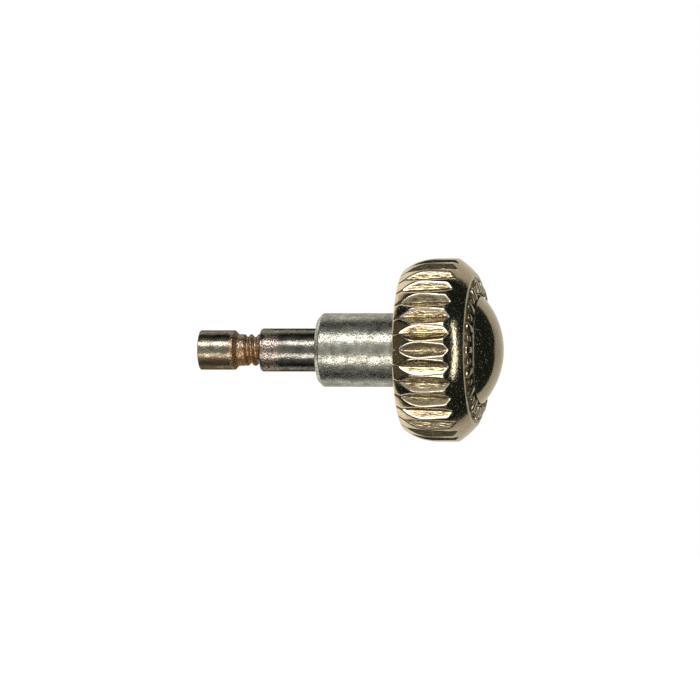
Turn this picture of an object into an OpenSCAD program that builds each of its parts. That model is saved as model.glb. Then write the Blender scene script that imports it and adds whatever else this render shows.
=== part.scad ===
// Watch crown with its case tube and stem extension
// A gilt fluted cap is pressed over a steel core. A hollow steel post runs from the core through
// the case tube and takes the threaded end of a stem extension. A rubber ring in the core seals
// on the case tube. The crown is drawn pushed home.
//
// The axis lies along X with the dome at +X, and +Z is up. The origin lies on the axis, at the
// shoulder of the case tube, where the outside of the watch case comes. Sizes are in millimetres.

/* [Crown head] */
// Diameter over the flutes
crown_d = 5.1; // [4.9:0.05:6.5]
// Thickness of the cap's wall between the core and the rim
cap_wall = 0.5; // [0.4:0.01:0.7]
// Thickness of that wall at the back face, where it ends in a lip
cap_lip = 0.18; // [0.08:0.01:0.22]
// Length of the rounded back shoulder
shoulder_len = 0.92; // [0.6:0.01:1.1]
// Length of the fluted rim, from the shoulder to the corner of the bevel
rim_len = 0.56; // [0.5:0.01:1.2]
// Radius that rounds the corner between the rim and the bevel
rim_round = 0.3; // [0.1:0.01:0.5]
// Length of the polished front bevel
bevel_len = 0.49; // [0.3:0.01:0.6]
// How far the bevel comes in from the rim to the flat ring on the front
bevel_drop = 0.43; // [0.25:0.01:0.5]
// How far the ring rises from its outer edge to the foot of the dome
ring_rise = 0.13; // [0.02:0.005:0.15]
// Width of the border round the field that is let into the ring for its ornament
ring_border = 0.07; // [0.04:0.01:0.12]
// Depth of that field
field_depth = 0.035; // [0.01:0.005:0.05]
// Thickness of the cap's front wall at the outer edge of the ring
front_wall = 0.19; // [0.16:0.01:0.3]
// Width of the fine bevel on the ring's inner edge, which draws the line round the dome
seam_bevel = 0.03; // [0.01:0.005:0.06]

/* [Flutes] */
// Number of flutes round the rim
flute_count = 33; // [20:1:36]
// Width of a flute across its mouth, half-way along the rim
flute_w = 0.41; // [0.25:0.01:0.44]
// Depth of a flute below the rim, in the same place
flute_depth = 0.133; // [0.05:0.001:0.2]
// Angle at which a flute's floor rises from the back of the crown to the front
flute_lean = 3.7; // [0:0.1:5]

/* [Dome] */
// Diameter of the dome where it stands in the ring
dome_d = 2.98; // [2.6:0.02:3.2]
// Radius of the domed surface
dome_r = 2.2; // [2:0.02:4]
// Height of the dome's upright side above the ring
dome_side = 0.05; // [0.05:0.005:0.3]
// Width of the small bevel round the dome's edge
dome_edge = 0.05; // [0.02:0.01:0.08]
// Width of the hidden flange that holds the dome from behind
dome_flange = 0.12; // [0.06:0.01:0.2]
// Thickness of that flange
dome_flange_t = 0.1; // [0.06:0.01:0.12]
// Thickness of the dome's metal
dome_wall = 0.3; // [0.2:0.01:0.35]

/* [Core] */
// How far the core lies inside the cap's back face
core_inset = 0.03; // [0.01:0.01:0.08]
// Thickness of the core behind its recess
core_floor = 0.18; // [0.12:0.01:0.3]
// Chamfer on the core's outer edges
core_chamfer = 0.06; // [0.02:0.01:0.1]

/* [Case tube] */
// Diameter of the tube where it is pressed into the watch case
seat_d = 2.05; // [1.9:0.01:2.3]
// Length of that seat
seat_len = 2.4; // [1.2:0.05:4]
// Diameter of the tube's outer end, which the rubber ring slides on
slide_d = 1.72; // [1.6:0.01:1.74]
// Chamfer on the tube's inner end
seat_chamfer = 0.13; // [0.05:0.01:0.2]
// Small chamfer on the tube's outer end and on both ends of its bore
tube_edge = 0.05; // [0.02:0.01:0.08]

/* [Seal] */
// Thickness of the rubber ring
gasket_t = 0.4; // [0.25:0.01:0.45]
// Thickness of the washer that keeps the rubber ring in
washer_t = 0.2; // [0.12:0.01:0.25]

/* [Post] */
// Thickness of the post's wall round the thread
post_wall = 0.15; // [0.12:0.01:0.2]
// How far the post stands out of the tube
post_out = 1.64; // [1:0.02:3]
// Rounding on the post's free edge
post_round = 0.08; // [0.03:0.01:0.12]
// How far the post's head stands out all round
head_lip = 0.2; // [0.1:0.01:0.3]
// Thickness of the post's head
head_t = 0.18; // [0.1:0.01:0.22]

/* [Stem extension] */
// Outer diameter of the thread
thread_d = 0.9; // [0.7:0.01:1.1]
// Length of thread inside the post
thread_in = 1.5; // [0.8:0.05:2.5]
// Length of thread in the open, between the post and the barrel
neck_len = 0.68; // [0.1:0.02:1.5]
// Thickness of the barrel's wall round its socket
barrel_wall = 0.1; // [0.08:0.01:0.15]
// Length of the barrel
barrel_len = 1.06; // [0.9:0.02:3]
// Chamfer where the barrel runs down to the thread
barrel_chamfer = 0.11; // [0.03:0.01:0.15]
// Rounding on the barrel's free edge
barrel_round = 0.06; // [0.02:0.01:0.1]
// Depth of the threaded socket in the barrel
socket_len = 0.75; // [0.4:0.01:0.85]
// Chamfer at the mouth of a threaded hole
mouth_chamfer = 0.04; // [0.01:0.01:0.06]

/* [Fits] */
// Gap between a turning or sliding piece and the round it runs on, all round
run_gap = 0.06; // [0.03:0.01:0.08]
// Gap between the rubber ring and what it seals on, at rest
seal_gap = 0.015; // [0.01:0.005:0.03]
// Gap all round in a thread, and beside and behind the dome's edge
thread_gap = 0.01; // [0.005:0.005:0.02]
// Gap between the back face and the tube's shoulder with the crown pushed home
home_gap = 0.03; // [0.01:0.01:0.1]
// Gap between the tube's outer end and the bottom of the core's recess, in the same place
end_gap = 0.05; // [0.02:0.01:0.1]
// Gap between the end of a threaded shank and the bottom of its hole
thread_end_gap = 0.1; // [0.02:0.01:0.2]

/* [Hidden] */

// Smoothness of turned pieces
round_fn = 96;
// How far a cutter reaches past the face it cuts
past = 0.1;
// Turn that brings the first flute from the top of the rim to the side at -Y
first_flute = 90;

crown_r = crown_d / 2;
ring_r = crown_r - bevel_drop;
dome_foot_r = dome_d / 2;
seat_r = seat_d / 2;
slide_r = slide_d / 2;
thread_r = thread_d / 2;
post_r = thread_r + post_wall;
head_r = post_r + head_lip;
bore_r = post_r + run_gap;
barrel_r = thread_r + barrel_wall;

// Places inside the head, measured from its back face towards the dome
rim_end = shoulder_len + rim_len;
ring_z = rim_end + bevel_len;
core_end = ring_z - front_wall;
recess_end = core_end - core_floor;
washer_end = core_inset + washer_t;
gasket_room_end = washer_end + gasket_t + 2 * seal_gap;
flange_end = core_end + dome_flange_t;

// Radii inside the head
core_r = crown_r - cap_wall;
back_r = core_r + cap_lip;
seal_r = slide_r + seal_gap + gasket_t / 2;
gasket_room_r = slide_r + gasket_t + 2 * seal_gap;
tube_room_r = slide_r + run_gap;
hole_r = dome_foot_r + thread_gap;
flange_r = dome_foot_r + dome_flange;

// The shoulder's arc passes through the edge of the back face and meets the rim smoothly
shoulder_drop = cap_wall - cap_lip;
shoulder_r = (shoulder_drop * shoulder_drop + shoulder_len * shoulder_len) / (2 * shoulder_drop);

// The bevel runs from the corner of the rim to the edge of the ring
bevel_run = norm([bevel_drop, bevel_len]);
bevel_angle = atan(bevel_drop / bevel_len);
round_reach = rim_round * tan(bevel_angle / 2);

// The ring's slope is carried on to the edge of the hole, and its field lies parallel below it
ring_top = ring_z + ring_rise;
ring_slope = ring_rise / (ring_r - hole_r);
field_r = ring_r - ring_border - field_depth;
field_z = ring_z + (ring_r - field_r) * ring_slope - field_depth;
field_top = ring_top - field_depth;

// The domed surface starts at the top of the dome's side. At that edge it lies this far above the
// centre of its sphere, and the edge's small bevel rises by this much.
dome_edge_z = ring_top + dome_side;
dome_edge_rise = sqrt(dome_r * dome_r - dome_foot_r * dome_foot_r);
dome_bevel_rise = dome_edge * dome_foot_r / dome_edge_rise;
dome_centre = dome_edge_z - dome_edge_rise;
dome_top = dome_centre + dome_r;

// Places along X
back_x = home_gap;
slide_len = back_x + recess_end - end_gap;
seat_end_x = -seat_len;
post_end_x = seat_end_x - post_out;
barrel_x = post_end_x - neck_len;

// Round solid about X, from a half profile with its radius to the right and its length upwards
module turned(start_x) {
    translate([start_x, 0, 0])
        rotate([0, 90, 0])
            rotate_extrude($fn = round_fn)
                children();
}

// Half profile of a round bar with a rounded edge at its low end
module rounded_profile(radius, len, low_round) {
    square([radius - low_round, len]);
    translate([0, low_round]) square([radius, len - low_round]);
    translate([radius - low_round, low_round]) circle(low_round, $fn = round_fn);
}

// Half profile of a round bar with a 45 degree chamfer at each end
module chamfered_profile(radius, len, low_chamfer, high_chamfer) {
    polygon([
        [0, 0],
        [radius - low_chamfer, 0],
        [radius, low_chamfer],
        [radius, len - high_chamfer],
        [radius - high_chamfer, len],
        [0, len]
    ]);
}

// Half profile of a blind threaded hole that opens downwards, with its mouth chamfered
module tapped_hole_profile(depth) {
    square([thread_r, depth]);
    polygon([
        [0, -past],
        [thread_r + mouth_chamfer + past, -past],
        [thread_r, mouth_chamfer],
        [0, mouth_chamfer]
    ]);
}

// Half profile of the gilt cap's outside
module cap_outline() {
    // Corner of the rim and bevel, with the rounding's two tangent points
    slope = [-bevel_drop, bevel_len] / bevel_run;
    corner = [crown_r, rim_end];
    polygon([
        [0, 0],
        [back_r, 0],
        [crown_r, shoulder_len],
        corner - [0, round_reach],
        corner + round_reach * slope,
        [ring_r, ring_z],
        [hole_r, ring_top],
        [0, ring_top]
    ]);
    translate([crown_r - rim_round, rim_end - round_reach]) circle(rim_round, $fn = round_fn);
    intersection() {
        translate([crown_r - shoulder_r, shoulder_len]) circle(shoulder_r, $fn = round_fn);
        square([crown_r, shoulder_len]);
    }
}

// Half profile of the ring's field, with a 45 degree wall at its border
module ring_field_profile() {
    polygon([
        [0, field_top],
        [hole_r, field_top],
        [field_r, field_z],
        [field_r + field_depth + past, field_z + field_depth + past],
        [field_r + field_depth + past, ring_top + past],
        [0, ring_top + past]
    ]);
}

// Half profile of what the cap holds: the core, the dome's flange and the dome's foot
module cap_hollow() {
    translate([0, -past]) square([core_r, core_end + past]);
    square([flange_r + thread_gap, flange_end + thread_gap]);
    square([hole_r, ring_top + past]);
    ring_field_profile();
    translate([0, field_top - seam_bevel])
        polygon([
            [0, 0],
            [hole_r, 0],
            [hole_r + seam_bevel + past, seam_bevel + past],
            [0, seam_bevel + past]
        ]);
}

// V-shaped cutter for one flute. It lies along the top of the rim, and because it runs straight it
// comes out of the rounded shoulder and of the bevel in a pointed tip. Its floor passes through the
// middle of the rim at the flute's depth, and leans about that point.
module flute_cutter() {
    mouth = flute_depth + past;
    half_mouth = flute_w / 2 * mouth / flute_depth;
    rim_middle = shoulder_len + rim_len / 2;
    translate([back_x + rim_middle, 0, crown_r - flute_depth])
        rotate([0, -flute_lean, 0])
            translate([-rim_middle, 0, 0])
                rotate([90, 0, 90])
                    linear_extrude(height = ring_z)
                        polygon([[0, 0], [half_mouth, mouth], [-half_mouth, mouth]]);
}

// Gold-plated cap with the fluted rim, the bevel and the flat ring
module crown_cap() {
    color("#c9b184")
        difference() {
            turned(back_x)
                difference() {
                    cap_outline();
                    cap_hollow();
                }
            for (i = [0 : flute_count - 1])
                rotate([first_flute + i * 360 / flute_count, 0, 0]) flute_cutter();
        }
}

// Thin domed piece in the middle of the front, held from behind by its flange
module dome_inlay() {
    color("#8f7f58")
        turned(back_x)
            difference() {
                union() {
                    translate([0, core_end]) square([flange_r, dome_flange_t]);
                    intersection() {
                        translate([0, dome_centre]) circle(dome_r, $fn = 2 * round_fn);
                        translate([0, core_end])
                            square([dome_foot_r, dome_top - core_end]);
                        // A slanting cut that takes the sharp corner off the dome's edge
                        polygon([
                            [0, core_end],
                            [dome_foot_r, core_end],
                            [dome_foot_r, dome_edge_z - dome_edge],
                            [dome_foot_r - dome_edge, dome_edge_z + dome_bevel_rise],
                            [dome_foot_r - dome_edge, dome_top],
                            [0, dome_top]
                        ]);
                    }
                }
                intersection() {
                    translate([0, dome_centre]) circle(dome_r - dome_wall, $fn = 2 * round_fn);
                    translate([0, core_end - past])
                        square([dome_foot_r - dome_wall, dome_top - core_end]);
                }
            }
}

// Steel core: a disc with a stepped recess for the rubber ring and the end of the case tube
module crown_core() {
    color("#9b9b96")
        turned(back_x)
            difference() {
                translate([0, core_inset])
                    chamfered_profile(core_r, core_end - core_inset, core_chamfer, core_chamfer);
                square([gasket_room_r, gasket_room_end]);
                square([tube_room_r, recess_end]);
                square([post_r, core_end + past]);
            }
}

// Hollow post, headed over the core and tapped from its free end for the stem extension
module crown_post() {
    len = back_x + core_end - post_end_x;
    color("#6f6a63")
        turned(post_end_x)
            difference() {
                union() {
                    rounded_profile(post_r, len, post_round);
                    translate([0, len]) chamfered_profile(head_r, head_t, 0, tube_edge);
                }
                tapped_hole_profile(thread_in + thread_end_gap);
            }
}

// Rubber ring of round section
module crown_gasket() {
    color("#1c1c1c")
        turned(back_x)
            translate([seal_r, washer_end + seal_gap + gasket_t / 2])
                circle(gasket_t / 2, $fn = round_fn);
}

// Flat washer pressed into the mouth of the core's recess
module gasket_washer() {
    color("#b4b2ab")
        turned(back_x)
            translate([tube_room_r, core_inset]) square([gasket_room_r - tube_room_r, washer_t]);
}

// Case tube: a seat for the watch case, a slimmer outer end for the seal, and a bore for the post
module case_tube() {
    color("#a7a596")
        turned(seat_end_x)
            difference() {
                union() {
                    chamfered_profile(seat_r, seat_len, seat_chamfer, 0);
                    translate([0, seat_len]) chamfered_profile(slide_r, slide_len, 0, tube_edge);
                }
                translate([0, -past]) square([bore_r, seat_len + slide_len + 2 * past]);
                polygon([
                    [0, -past],
                    [bore_r + tube_edge + past, -past],
                    [bore_r, tube_edge],
                    [0, tube_edge]
                ]);
                translate([0, seat_len + slide_len])
                    polygon([
                        [0, past],
                        [bore_r + tube_edge + past, past],
                        [bore_r, -tube_edge],
                        [0, -tube_edge]
                    ]);
            }
}

// Stem extension: a threaded shank, and a barrel with a threaded socket in its free end
module stem_extension() {
    shank_r = thread_r - thread_gap;
    shank_end = barrel_len + neck_len + thread_in;
    color("#7a7068")
        turned(barrel_x - barrel_len)
            difference() {
                union() {
                    intersection() {
                        rounded_profile(barrel_r, barrel_len, barrel_round);
                        chamfered_profile(barrel_r, barrel_len, 0, barrel_chamfer);
                    }
                    chamfered_profile(shank_r, shank_end, barrel_chamfer, mouth_chamfer);
                }
                tapped_hole_profile(socket_len);
            }
}

case_tube();
crown_gasket();
gasket_washer();
crown_cap();
dome_inlay();
crown_core();
crown_post();
stem_extension();
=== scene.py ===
# %% [markdown]
# A pull-out watch crown in Blender
#
# The object is the small winding knob on the side of a watch, with the tube that it slides on and the
# threaded extension that leads to the stem. It is 8.5 mm long, so nearly all that the eye gets from it
# is how a few metals reflect a bright studio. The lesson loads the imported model, mixes a finish for
# each metal, turns each piece again as a fine mesh with true rounds, cuts the flutes and the thread
# with Geometry Nodes, and sets the part in a small studio.

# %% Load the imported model
import math

import bmesh
import bpy
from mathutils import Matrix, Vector


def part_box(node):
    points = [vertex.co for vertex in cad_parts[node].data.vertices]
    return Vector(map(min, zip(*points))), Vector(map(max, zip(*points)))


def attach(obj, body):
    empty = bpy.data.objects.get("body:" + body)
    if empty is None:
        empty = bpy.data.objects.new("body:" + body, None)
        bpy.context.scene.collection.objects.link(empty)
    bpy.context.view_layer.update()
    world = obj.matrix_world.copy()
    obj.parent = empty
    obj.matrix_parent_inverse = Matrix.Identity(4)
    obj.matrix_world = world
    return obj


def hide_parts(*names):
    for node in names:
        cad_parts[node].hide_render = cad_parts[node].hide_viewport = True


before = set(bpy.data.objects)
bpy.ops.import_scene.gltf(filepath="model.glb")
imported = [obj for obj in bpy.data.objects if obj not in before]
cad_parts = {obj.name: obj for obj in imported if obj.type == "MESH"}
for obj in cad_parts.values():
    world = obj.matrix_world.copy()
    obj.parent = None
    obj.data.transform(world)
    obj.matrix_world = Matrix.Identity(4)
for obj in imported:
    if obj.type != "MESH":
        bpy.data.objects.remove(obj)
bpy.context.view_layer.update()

# %% [markdown]
# Blender works in metres and a maker of watch parts thinks in millimetres, so every size below is
# written in millimetres and turned to metres only where something is made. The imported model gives
# the ends and the largest radius of each piece. What it doesn't show, such as the radius of an arc,
# is named where it is first used.

# %% Millimetres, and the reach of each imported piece
MM = 0.001
WHOLE_TURN = 2 * math.pi


def reach(node):
    """First x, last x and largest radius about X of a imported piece, in millimetres."""
    low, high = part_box(node)
    radius = max(math.hypot(v.co.y, v.co.z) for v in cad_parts[node].data.vertices)
    return low.x / MM, high.x / MM, radius / MM


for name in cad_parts:
    print(name, [round(size, 3) for size in reach(name)])

# %% [markdown]
# Colours are picked as sRGB hex values, the way a colour picker shows them, but a shader mixes light
# in linear values. One function does the step from one to the other.

# %% Colours


def colour(hex_code):
    """Linear RGBA from an sRGB hex code such as #c9b184."""
    channels = [int(hex_code[i : i + 2], 16) / 255 for i in (1, 3, 5)]
    linear = [c / 12.92 if c <= 0.04045 else ((c + 0.055) / 1.055) ** 2.4 for c in channels]
    return (*linear, 1.0)


print("pale gold in linear light:", [round(c, 3) for c in colour("#ead6b6")])

# %% [markdown]
# Materials and Geometry Nodes are both trees of nodes, and one small function builds them all. It
# adds a node, sets its properties and feeds its inputs, each with a value, a hex colour or another
# node's output. It returns the node's first output in use, ready to feed the next one.
#
# Three kinds of node come so often that they have a short name. A Math node takes its numbers in
# turn. A Map Range takes a value, the two levels that it comes from and, unless they are 0 and 1,
# the two that it goes to. Outside the first two levels it stays at the ends of the last two.

# %% One function that adds a node, and one that feeds an input
MATH = "ShaderNodeMath"
VECTOR_MATH = "ShaderNodeVectorMath"
RANGE = "ShaderNodeMapRange"
SMOOTH = {"interpolation_type": "SMOOTHSTEP"}


def feed(tree, value, socket):
    """Feeds an input with another node's output, a hex colour or a plain value."""
    if isinstance(value, bpy.types.NodeSocket):
        tree.links.new(value, socket)
    elif isinstance(value, str) and value.startswith("#"):
        socket.default_value = colour(value)
    else:
        socket.default_value = value


def add(tree, kind, inputs=(), operation=None, **settings):
    """Adds a node and returns its first output. Inputs go by name in a dict, or by order in a tuple."""
    made = tree.nodes.new(kind)
    if operation:
        made.operation = operation
    for key, value in settings.items():
        setattr(made, key, value)
    in_use = [socket for socket in made.inputs if socket.enabled]
    for key, value in inputs.items() if isinstance(inputs, dict) else enumerate(inputs):
        socket = in_use[key] if isinstance(key, int) else next(s for s in in_use if s.name == key)
        feed(tree, value, socket)
    return next((socket for socket in made.outputs if socket.enabled), None)


# %% [markdown]
# Each piece here is a turned part: a lathe spins it about one line and a tool takes off the rest.
# Blender's Screw modifier can do the same, but a short function gives full control of the ends on
# the axis and of how close the rows of points lie. A profile is a list of corners, each with the
# radius that rounds it, because a real edge is never perfectly sharp and the thin bright line along
# it is what tells the eye that it sees metal.

# %% Profiles with rounded corners
ROUND_STEPS = 6
MOST_OF_SIDE = 0.49     # share of a side that the rounding of its corner may take
FINE = 0.01             # rounding of an edge that is only broken, mm
SOFT = 0.02             # and of one that is a little softer


def rounded(corners, closed):
    """Profile points from corners (x, radius, rounding), with an arc in place of each corner."""
    points = []
    for i, (x, r, rounding) in enumerate(corners):
        here = Vector((x, r))
        at_end = not closed and i in (0, len(corners) - 1)
        if rounding == 0 or at_end:
            points.append(here)
            continue
        before = Vector(corners[i - 1][:2]) - here
        after = Vector(corners[(i + 1) % len(corners)][:2]) - here
        half = before.angle(after) / 2
        back = min(rounding / math.tan(half), MOST_OF_SIDE * min(before.length, after.length))
        centre = here + (before.normalized() + after.normalized()).normalized() * back / math.cos(half)
        first = here + before.normalized() * back - centre
        last = here + after.normalized() * back - centre
        turn = first.angle_signed(last)
        for step in range(ROUND_STEPS + 1):
            angle = -turn * step / ROUND_STEPS
            points.append(centre + Vector((
                first.x * math.cos(angle) - first.y * math.sin(angle),
                first.x * math.sin(angle) + first.y * math.cos(angle),
            )))
    return points


def arc(x, r, radius, start, end, steps):
    """Corners along an arc about (x, r). Angles are in degrees, 0 along the axis and 90 outwards."""
    angles = [math.radians(start + (end - start) * i / steps) for i in range(steps + 1)]
    return [(x + radius * math.cos(a), r + radius * math.sin(a), 0) for a in angles]


def spaced(points, gap):
    """The same profile with extra points, so that no two neighbours lie further apart than gap."""
    dense = []
    for a, b in zip(points, points[1:]):
        count = max(1, math.ceil((b - a).length / gap))
        dense += [a.lerp(b, i / count) for i in range(count)]
    return dense + [points[-1]]


square_corner = [(0.0, 0.0, 0.0), (1.0, 0.0, 0.2), (1.0, 1.0, 0.0)]
print("a square corner, rounded:", len(rounded(square_corner, closed=False)) - 2, "points")

# %% [markdown]
# The lathe itself: each profile point becomes a ring of points round X, or a single point where it
# lies on the axis, and neighbouring rings are joined by faces. Edges sharper than a set angle stay
# crisp and the rest is shaded smooth.

# %% The lathe
CRISP = math.radians(40)
ON_AXIS = 1e-9          # a radius below this is none


def finish_mesh(mesh):
    """Turns the faces outwards and shades all but the sharpest edges smooth."""
    work = bmesh.new()
    work.from_mesh(mesh)
    bmesh.ops.recalc_face_normals(work, faces=work.faces)
    work.to_mesh(mesh)
    work.free()
    mesh.shade_smooth()
    mesh.set_sharp_from_angle(angle=CRISP)


def put_in_scene(name, data):
    """A new object with this data, at the origin."""
    made = bpy.data.objects.new(name, data)
    bpy.context.scene.collection.objects.link(made)
    return made


def lathe(name, points, segments, closed, finish=None):
    """Solid of revolution about X. An open profile starts and ends on the axis."""
    vertices, rings = [], []
    for point in points:
        count = segments if point.y > ON_AXIS else 1
        rings.append(range(len(vertices), len(vertices) + count))
        for i in range(count):
            angle = WHOLE_TURN * i / segments
            y, z = point.y * MM * math.cos(angle), point.y * MM * math.sin(angle)
            vertices.append((point.x * MM, y, z))
    faces = []
    for a, b in zip(rings, rings[1:] + rings[:1] if closed else rings[1:]):
        for i in range(segments):
            j = (i + 1) % segments
            corners = [a[i % len(a)], a[j % len(a)], b[j % len(b)], b[i % len(b)]]
            faces.append(list(dict.fromkeys(corners)))
    mesh = bpy.data.meshes.new(name)
    mesh.from_pydata(vertices, [], faces)
    finish_mesh(mesh)
    if finish:
        mesh.materials.append(finish)
    print(f"{name}: {len(vertices)} points, {len(faces)} faces")
    return put_in_scene(name, mesh)


# %% [markdown]
# A Geometry Nodes tree here is a tool: two of them cut a turned blank and one sets an ornament. A
# dict names each of a tool's sizes and gives its value, and the tree has a named input for each, so
# the same tree makes another piece with other numbers. The cells that build it read an input as
# given[name]. A modifier keeps its inputs under identifiers and not under the names, so the function
# that bakes looks each one up. It keeps the result as a plain mesh, and the modifier goes, because
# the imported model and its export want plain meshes.

# %% Start a tree, and bake what it makes
SOCKET_KINDS = {
    float: "Float",
    int: "Int",
    tuple: "Vector",
    bpy.types.Object: "Object",
    bpy.types.Material: "Material",
}


def new_tool(title, sizes):
    """Geometry Nodes tree with an input for each named size. Returns it and the inputs to read."""
    tree = bpy.data.node_groups.new(title, "GeometryNodeTree")
    tree.interface.new_socket("Geometry", in_out="INPUT", socket_type="NodeSocketGeometry")
    for label, value in sizes.items():
        kind = SOCKET_KINDS[type(value)]
        tree.interface.new_socket(label, in_out="INPUT", socket_type=f"NodeSocket{kind}")
    tree.interface.new_socket("Geometry", in_out="OUTPUT", socket_type="NodeSocketGeometry")
    return tree, tree.nodes.new("NodeGroupInput").outputs


def close_tool(tree, geometry, finish):
    """Ends a tree: instances made real, and the finish put on."""
    real = add(tree, "GeometryNodeRealizeInstances", {"Geometry": geometry})
    coated = add(tree, "GeometryNodeSetMaterial", {"Geometry": real, "Material": finish})
    add(tree, "NodeGroupOutput", {"Geometry": coated})
    print(f"{tree.name}: {len(tree.nodes)} nodes")


def bake(piece, tree, sizes):
    """Runs a tree on a piece with the given sizes and keeps the result as a plain mesh."""
    modifier = piece.modifiers.new(tree.name, "NODES")
    modifier.node_group = tree
    for item in tree.interface.items_tree:
        if item.in_out == "INPUT" and item.name in sizes:
            modifier[item.identifier] = sizes[item.name]
    evaluated = piece.evaluated_get(bpy.context.evaluated_depsgraph_get())
    mesh = bpy.data.meshes.new_from_object(evaluated)
    piece.modifiers.remove(modifier)
    piece.data = mesh
    mesh.name = piece.name
    finish_mesh(mesh)
    triangles = sum(len(face.vertices) - 2 for face in mesh.polygons)
    print(f"{piece.name}: {triangles} triangles after the {tree.name}")


# %% [markdown]
# The finishes come first, because the trees that cut the metal also put a material on it. All of
# them read Object coordinates, which stay on the piece when it moves, turned to millimetres so that
# a grain, a pit or a scratch can be written as it would be measured under a loupe.
#
# Metal that has been worn is a stack of coats: clean metal, tarnish, dirt, dust. Each coat has a
# colour, a metallic value and a roughness, and lies only where a pattern lets it. A pattern here is
# noise with its ends pushed apart: below one level it is nothing, above another it is full. Grains a
# few hundredths of a millimetre across are one pixel wide in the picture.

# %% A finish, coat by coat


class Finish:
    """A material in the making, with the coats and the relief laid on it so far."""

    def __init__(self, title):
        self.material = bpy.data.materials.new(title)
        self.material.use_nodes = True
        self.tree = self.material.node_tree
        self.shader = self.tree.nodes["Principled BSDF"]
        self.coats = {}
        here = add(self.tree, "ShaderNodeTexCoord").node.outputs["Object"]
        in_mm = {"Vector": here, "Scale": 1 / MM}
        self.place = add(self.tree, VECTOR_MATH, in_mm, "SCALE")

    def pattern(self, size, low, high, detail=3.0, stretch=(1, 1, 1)):
        """Noise with grains of a size in mm, spread from 0 at level low to 1 at level high. A
        stretch under 1 draws the grains out along that axis."""
        scaled = add(self.tree, "ShaderNodeMapping", {"Vector": self.place, "Scale": stretch})
        grains = {"Vector": scaled, "Scale": 1 / size, "Detail": detail}
        return add(self.tree, RANGE, (add(self.tree, "ShaderNodeTexNoise", grains), low, high))

    def zone(self, axis, start, end):
        """Share from 0 at start to 1 at end along X or Z, in mm. Start may lie beyond end."""
        spot = add(self.tree, "ShaderNodeSeparateXYZ", {"Vector": self.place}).node.outputs[axis]
        return add(self.tree, RANGE, (spot, start, end), **SMOOTH)

    def both(self, first, *others):
        """Share where all of the given shares meet."""
        for other in others:
            first = add(self.tree, MATH, (first, other), "MULTIPLY")
        return first

    def lay(self, base, metallic, roughness, share=1.0):
        """Lays a coat over the earlier ones where share is 1."""
        for name, new in (("Base Color", base), ("Metallic", metallic), ("Roughness", roughness)):
            if name in self.coats:
                kind = "RGBA" if name == "Base Color" else "FLOAT"
                mix = {"Factor": share, "A": self.coats[name], "B": new}
                new = add(self.tree, "ShaderNodeMix", mix, data_type=kind)
            self.coats[name] = new

    def ground(self, bare, clouded, clouds, gloss, spread, haze):
        """Lays the bare metal, clouded by a pattern of colour and a pattern of roughness."""
        metal = add(self.tree, "ShaderNodeMix", (clouds, bare, clouded), data_type="RGBA")
        roughness = add(self.tree, RANGE, (haze, 0.0, 1.0, gloss, gloss + spread))
        self.lay(metal, 1.0, roughness)

    def press(self, height, depth):
        """Presses a pattern into the surface, depth in mm where it is full."""
        relief = {"Height": height, "Distance": depth * MM}
        if "Normal" in self.coats:
            relief["Normal"] = self.coats["Normal"]
        self.coats["Normal"] = add(self.tree, "ShaderNodeBump", relief)

    def done(self):
        """Feeds the shader and returns the material."""
        for name, value in self.coats.items():
            feed(self.tree, value, self.shader.inputs[name])
        print(f"{self.material.name}: {len(self.tree.nodes)} nodes")
        return self.material
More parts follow.
